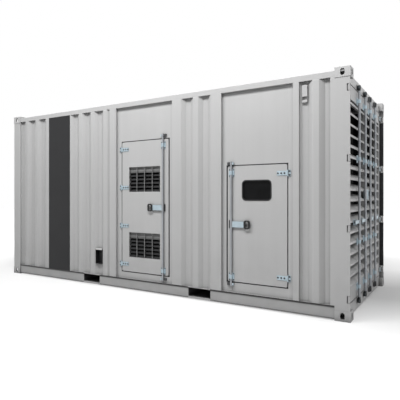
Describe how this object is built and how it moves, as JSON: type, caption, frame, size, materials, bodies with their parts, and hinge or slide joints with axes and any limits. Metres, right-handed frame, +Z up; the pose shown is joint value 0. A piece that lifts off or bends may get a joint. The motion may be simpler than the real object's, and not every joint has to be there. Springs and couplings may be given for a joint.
{
  "type": "containerised diesel generator housing",
  "caption": "Steel container housing of a diesel generator: corrugated walls, corner castings, fork pockets, louvred end doors with lock rods, a louvred door and a windowed door.",
  "frame": {"origin": "ground level at the centre of the footprint", "axes": "+X towards the louvred end, -Y towards the side with the two service doors, +Z up"},
  "size_m": [6.058, 2.438, 2.896],
  "materials": {
    "grey_paint": "gloss",
    "zinc": "satin",
    "underframe": "satin",
    "sign_grey": "satin",
    "black_plastic": "matte",
    "rubber": "matte",
    "dark_glass": "gloss"
  },
  "bodies": {
    "container": {"bottom_castings": "grey_paint", "top_castings": "grey_paint", "blind_end_posts": "grey_paint", "louvre_end_posts": "grey_paint", "bottom_side_rails": "grey_paint", "fork_straps": "grey_paint", "top_side_rails": "grey_paint", "blind_end_rails": "grey_paint", "louvre_end_rails": "grey_paint", "cross_members": "underframe", "fork_pocket_sides": "underframe", "fork_pocket_plates": "underframe", "floor_plate": "underframe", "roof_panel": "grey_paint", "blind_end_wall": "grey_paint", "back_wall": "grey_paint", "front_wall_left": "grey_paint", "front_wall_middle": "grey_paint", "front_wall_right": "grey_paint", "sign_panel": "sign_grey", "bay_posts": "grey_paint", "bay_jambs": "grey_paint", "bay_panels": "grey_paint", "side_hinge_plates": "zinc", "side_keepers": "zinc", "end_keepers": "zinc", "switch_box": "black_plastic", "switch_box_hood": "grey_paint", "wall_vent": "grey_paint"},
    "louvre_door": {"louvre_door_leaf": "grey_paint", "louvre_door_vents": "grey_paint", "louvre_door_hinges": "zinc", "louvre_door_guides": "zinc", "louvre_door_slats": "underframe"},
    "louvre_door_lock": {"louvre_door_rod": "zinc", "louvre_door_grip": "black_plastic"},
    "window_door": {"window_door_leaf": "grey_paint", "window_gasket": "rubber", "window_pane": "dark_glass", "window_door_hinges": "zinc", "window_door_guides": "zinc"},
    "window_door_lock": {"window_door_rod": "zinc", "window_door_grip": "black_plastic"},
    "near_end_door": {"near_leaf_stiles": "grey_paint", "near_leaf_rails": "grey_paint", "near_leaf_louvres": "grey_paint", "near_leaf_hinges": "grey_paint", "near_leaf_guides": "zinc"},
    "near_outer_lock": {"near_outer_rod": "zinc"},
    "near_inner_lock": {"near_inner_rod": "zinc"},
    "far_end_door": {"far_leaf_stiles": "grey_paint", "far_leaf_rails": "grey_paint", "far_leaf_louvres": "grey_paint", "far_leaf_hinges": "grey_paint", "far_leaf_guides": "zinc"},
    "far_outer_lock": {"far_outer_rod": "zinc"},
    "far_inner_lock": {"far_inner_rod": "zinc"}
  },
  "joints": [
    {"name": "louvre_door_hinge", "type": "hinge", "parent": "container", "child": "louvre_door", "pos_m": [-0.398, -1.191, 1.27], "axis": [0, 0, -1], "range_deg": [0, 110]},
    {"name": "louvre_door_lock_turn", "type": "hinge", "parent": "louvre_door", "child": "louvre_door_lock", "pos_m": [0.402, -1.199, 1.27], "axis": [0, 0, -1], "range_deg": [-100, 0]},
    {"name": "window_door_hinge", "type": "hinge", "parent": "container", "child": "window_door", "pos_m": [2.285, -1.191, 1.06], "axis": [0, 0, 1], "range_deg": [0, 110]},
    {"name": "window_door_lock_turn", "type": "hinge", "parent": "window_door", "child": "window_door_lock", "pos_m": [1.514, -1.199, 1.06], "axis": [0, 0, 1], "range_deg": [-100, 0]},
    {"name": "near_end_door_hinge", "type": "hinge", "parent": "container", "child": "near_end_door", "pos_m": [3.011, -1.203, 1.47], "axis": [0, 0, 1], "range_deg": [-250, 0]},
    {"name": "near_outer_lock_turn", "type": "hinge", "parent": "near_end_door", "child": "near_outer_lock", "pos_m": [3.001, -0.583, 1.47], "axis": [0, 0, 1], "range_deg": [0, 100]},
    {"name": "near_inner_lock_turn", "type": "hinge", "parent": "near_end_door", "child": "near_inner_lock", "pos_m": [3.001, -0.18, 1.47], "axis": [0, 0, 1], "range_deg": [0, 100]},
    {"name": "far_end_door_hinge", "type": "hinge", "parent": "container", "child": "far_end_door", "pos_m": [3.011, 1.203, 1.47], "axis": [0, 0, 1], "range_deg": [0, 250]},
    {"name": "far_outer_lock_turn", "type": "hinge", "parent": "far_end_door", "child": "far_outer_lock", "pos_m": [3.001, 0.583, 1.47], "axis": [0, 0, 1], "range_deg": [-100, 0]},
    {"name": "far_inner_lock_turn", "type": "hinge", "parent": "far_end_door", "child": "far_inner_lock", "pos_m": [3.001, 0.18, 1.47], "axis": [0, 0, 1], "range_deg": [-100, 0]}
  ]
}
